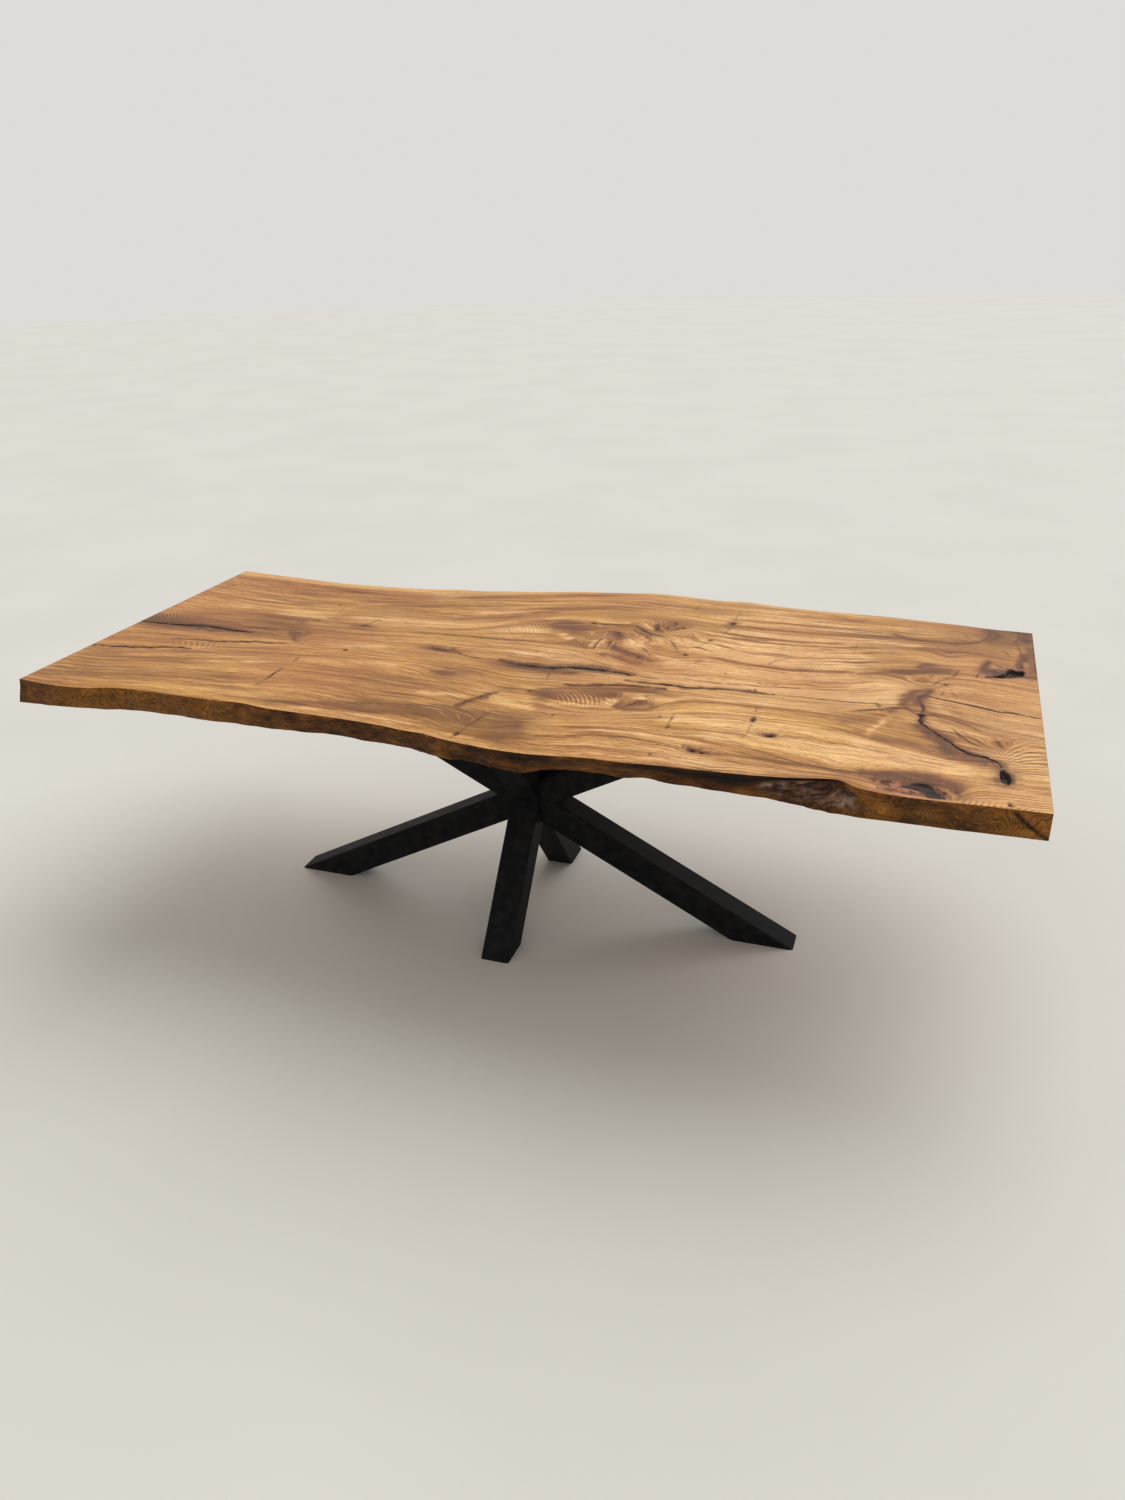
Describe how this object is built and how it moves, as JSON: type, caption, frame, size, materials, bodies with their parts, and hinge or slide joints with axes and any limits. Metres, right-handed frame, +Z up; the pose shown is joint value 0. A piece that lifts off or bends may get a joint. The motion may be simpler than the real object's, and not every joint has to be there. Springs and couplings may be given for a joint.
{
  "type": "live-edge dining table with a solid wood panel top",
  "caption": "Dining table: a solid live-edge elm panel with natural cracks and bark pockets, on a black steel spider base of crossing square tubes.",
  "frame": {"origin": "on the floor, under the middle of the panel", "axes": "+X along the panel's length, +Y across it to the bowed back edge, +Z up"},
  "size_m": [2.465, 1.1971, 0.76],
  "materials": {
    "elm": "oiled solid elm with dark cracks and brown live edges",
    "black_steel": "matt black powder coat",
    "zinc_screw": "zinc plated"
  },
  "bodies": {
    "root": {"panel": "elm", "long_tube_through": "black_steel", "long_tube_right_foot": "black_steel", "long_tube_left_top": "black_steel", "short_tube_front_foot": "black_steel", "short_tube_back_top": "black_steel", "short_tube_back_foot": "black_steel", "short_tube_front_top": "black_steel", "plate_left": "black_steel", "plate_right": "black_steel", "plate_front": "black_steel", "plate_back": "black_steel", "screw_left_1": "zinc_screw", "screw_left_2": "zinc_screw", "screw_left_3": "zinc_screw", "screw_left_4": "zinc_screw", "screw_right_1": "zinc_screw", "screw_right_2": "zinc_screw", "screw_right_3": "zinc_screw", "screw_right_4": "zinc_screw", "screw_front_1": "zinc_screw", "screw_front_2": "zinc_screw", "screw_front_3": "zinc_screw", "screw_front_4": "zinc_screw", "screw_back_1": "zinc_screw", "screw_back_2": "zinc_screw", "screw_back_3": "zinc_screw", "screw_back_4": "zinc_screw"}
  },
  "joints": []
}
